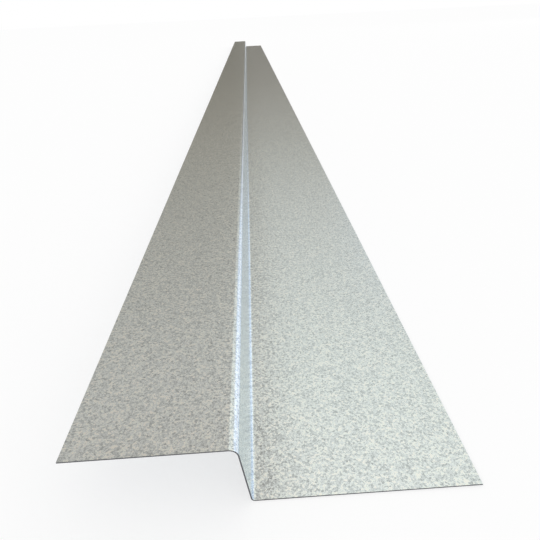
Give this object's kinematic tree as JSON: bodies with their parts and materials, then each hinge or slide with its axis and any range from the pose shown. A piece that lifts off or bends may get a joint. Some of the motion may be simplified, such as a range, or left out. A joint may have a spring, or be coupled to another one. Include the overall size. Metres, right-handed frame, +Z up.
{
  "type": "z-bar flashing",
  "caption": "Z-shaped sheet-steel flashing: a nailing flange, a gently sloped web and a wider lower flange, bent from one strip of bright spangled coated steel.",
  "frame": {"origin": "under the middle of the stick, at the level of the floor that its wide flange lies on", "axes": "+X across the stick from the raised narrow flange towards the wide flange on the floor, +Y along its length, +Z up off the floor"},
  "size_m": [0.1556, 3.048, 0.0286],
  "materials": {
    "coated_steel": "bright zinc-alloy coating with a fine spangle, satin"
  },
  "bodies": {
    "root": {"z_flashing": "coated_steel"}
  },
  "joints": []
}
